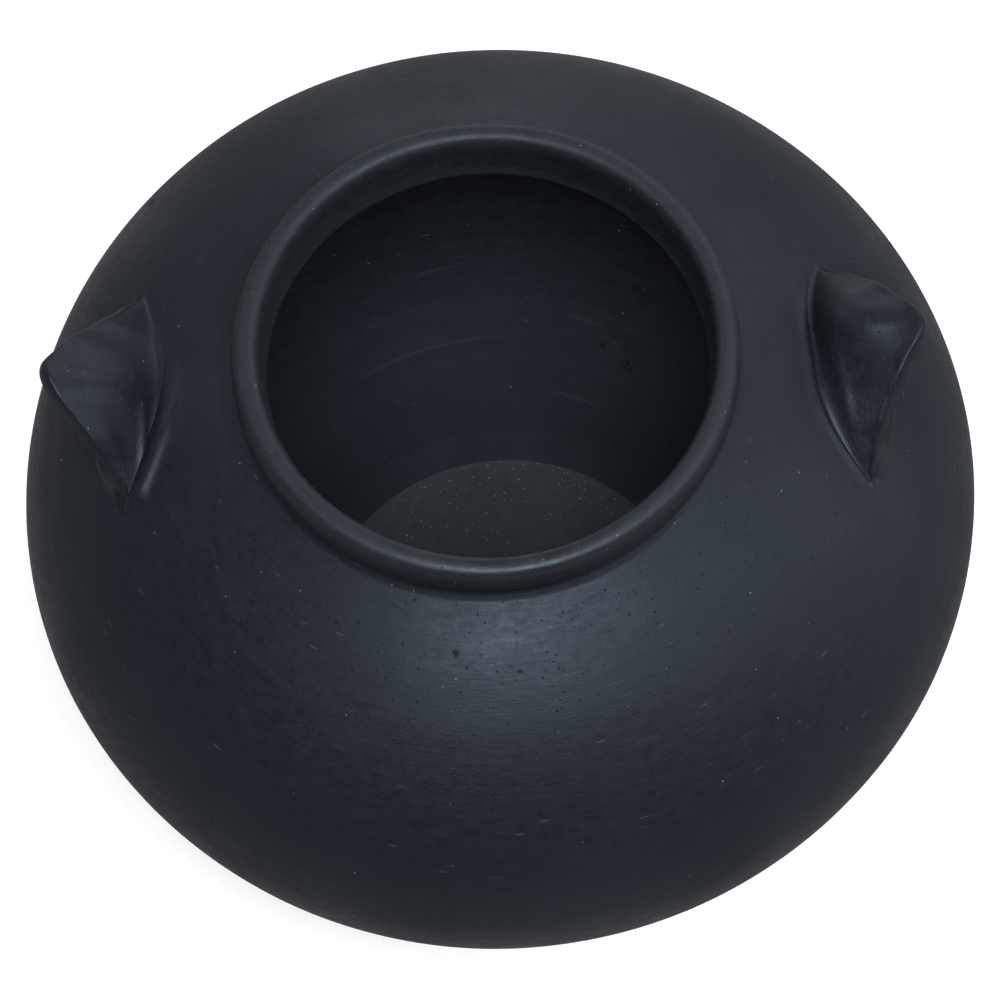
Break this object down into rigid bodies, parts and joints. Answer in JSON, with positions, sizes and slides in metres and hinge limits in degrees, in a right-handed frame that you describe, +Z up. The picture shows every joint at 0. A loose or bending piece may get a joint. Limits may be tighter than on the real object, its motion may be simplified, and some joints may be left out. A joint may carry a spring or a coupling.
{
  "type": "clay pot",
  "caption": "Round-bellied black clay pot with a short rolled neck and pinched pointed lugs on the shoulder.",
  "frame": {"origin": "centre of the flat foot, on the surface that the pot stands on", "axes": "+Z up the pot's axis, +X towards one lug and -X towards the other"},
  "size_m": [0.32, 0.32, 0.239],
  "materials": {
    "body_clay": "smoke-fired blue-black clay, burnished by hand to a low sheen, with fine streaks round the pot",
    "floor_clay": "matt unburnished black clay with fine pale grit showing",
    "lip_clay": "burnished black clay, smoother and glossier on the roll of the lip",
    "lug_clay": "black clay pinched and smoothed with wet fingers, satin on the tips"
  },
  "bodies": {
    "root": {"base_pad": "floor_clay", "lower_wall": "body_clay", "belly_coil_low": "body_clay", "belly_coil_middle": "body_clay", "belly_coil_high": "body_clay", "shoulder_coil": "body_clay", "neck_collar": "body_clay", "lip_coil": "lip_clay", "lug_left": "lug_clay", "lug_right": "lug_clay", "luting_coil_left": "lug_clay", "luting_coil_right": "lug_clay"}
  },
  "joints": []
}
